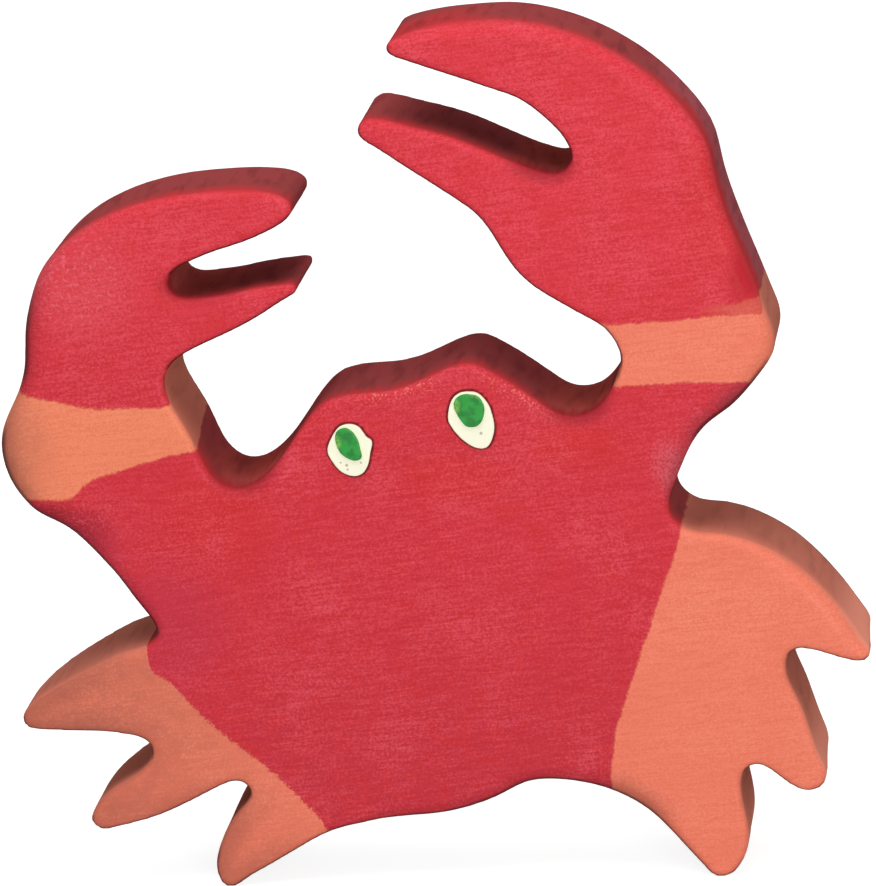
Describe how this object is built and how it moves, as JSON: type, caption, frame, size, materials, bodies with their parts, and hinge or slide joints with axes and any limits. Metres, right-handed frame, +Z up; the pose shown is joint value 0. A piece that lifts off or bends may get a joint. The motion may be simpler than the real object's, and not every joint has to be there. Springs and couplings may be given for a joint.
{
  "type": "crab figurine",
  "caption": "Flat wooden crab figurine, sawn from one plank and stained red and coral, with raised painted eyes; stands on its lowest toes.",
  "frame": {"origin": "middle of the crab's bounding box, on the surface that its two feet stand on", "axes": "+Z up, +X to the right of the crab seen from its painted front, +Y from the front to the back, along the thickness"},
  "size_m": [0.1198, 0.0228, 0.1215],
  "materials": {
    "stained_wood": "red and coral stain, satin, hand sanded",
    "cream_paint": "raised dab of cream paint",
    "green_paint": "raised dab of green paint"
  },
  "bodies": {
    "root": {"crab_blank": "stained_wood", "left_eye_white": "cream_paint", "left_eye_pupil": "green_paint", "right_eye_white": "cream_paint", "right_eye_pupil": "green_paint"}
  },
  "joints": []
}
